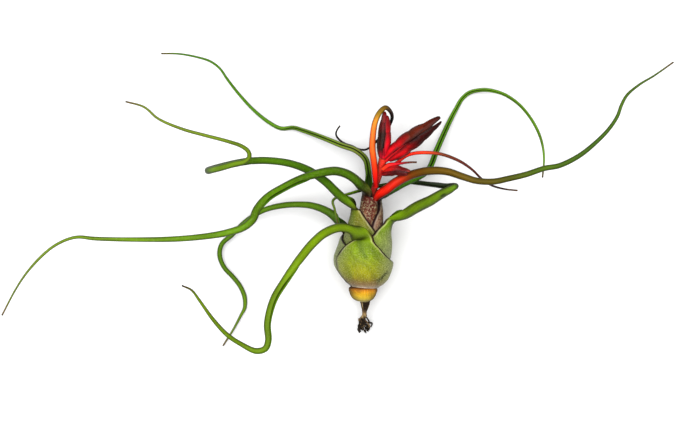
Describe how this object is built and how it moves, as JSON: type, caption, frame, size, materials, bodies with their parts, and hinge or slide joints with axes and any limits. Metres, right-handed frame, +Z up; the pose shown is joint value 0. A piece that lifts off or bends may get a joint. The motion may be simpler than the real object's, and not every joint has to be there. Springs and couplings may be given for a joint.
{
  "type": "bulbosa air plant",
  "caption": "Flowering air plant lying on its side: a bulb of nested leaf sheaths, long curling rolled leaves, red flower spikes and wiry roots.",
  "frame": {"origin": "the flat spot under the bulb, on the surface that the plant lies on", "axes": "+X the plant's right as seen from above, +Y from the roots towards the flowers, +Z up from the surface"},
  "size_m": [0.233, 0.1094, 0.0753],
  "materials": {
    "yellow_green_leaf": "smooth waxy leaf with fine pale scales",
    "green_leaf": "smooth waxy leaf with fine pale scales",
    "dark_green_leaf": "smooth waxy leaf",
    "red_leaf": "smooth waxy leaf, red at its foot and green further out",
    "red_bract": "smooth glossy bract",
    "flower_spike": "glossy overlapping bracts, red to dark maroon",
    "stem": "dry, matt, slightly fibrous",
    "roots": "dry wiry root"
  },
  "bodies": {
    "root": {"leaf_front": "yellow_green_leaf", "leaf_right_fold": "yellow_green_leaf", "leaf_left_low": "green_leaf", "leaf_left_loop": "green_leaf", "leaf_left_long": "green_leaf", "leaf_back_left": "dark_green_leaf", "leaf_back_right": "dark_green_leaf", "leaf_right_long": "red_leaf", "bract_hooked": "red_bract", "bract_arching": "red_bract", "bract_needle": "red_bract", "spike_upright": "flower_spike", "spike_slanting": "flower_spike", "spike_low": "flower_spike", "stem": "stem", "roots": "roots"}
  },
  "joints": []
}
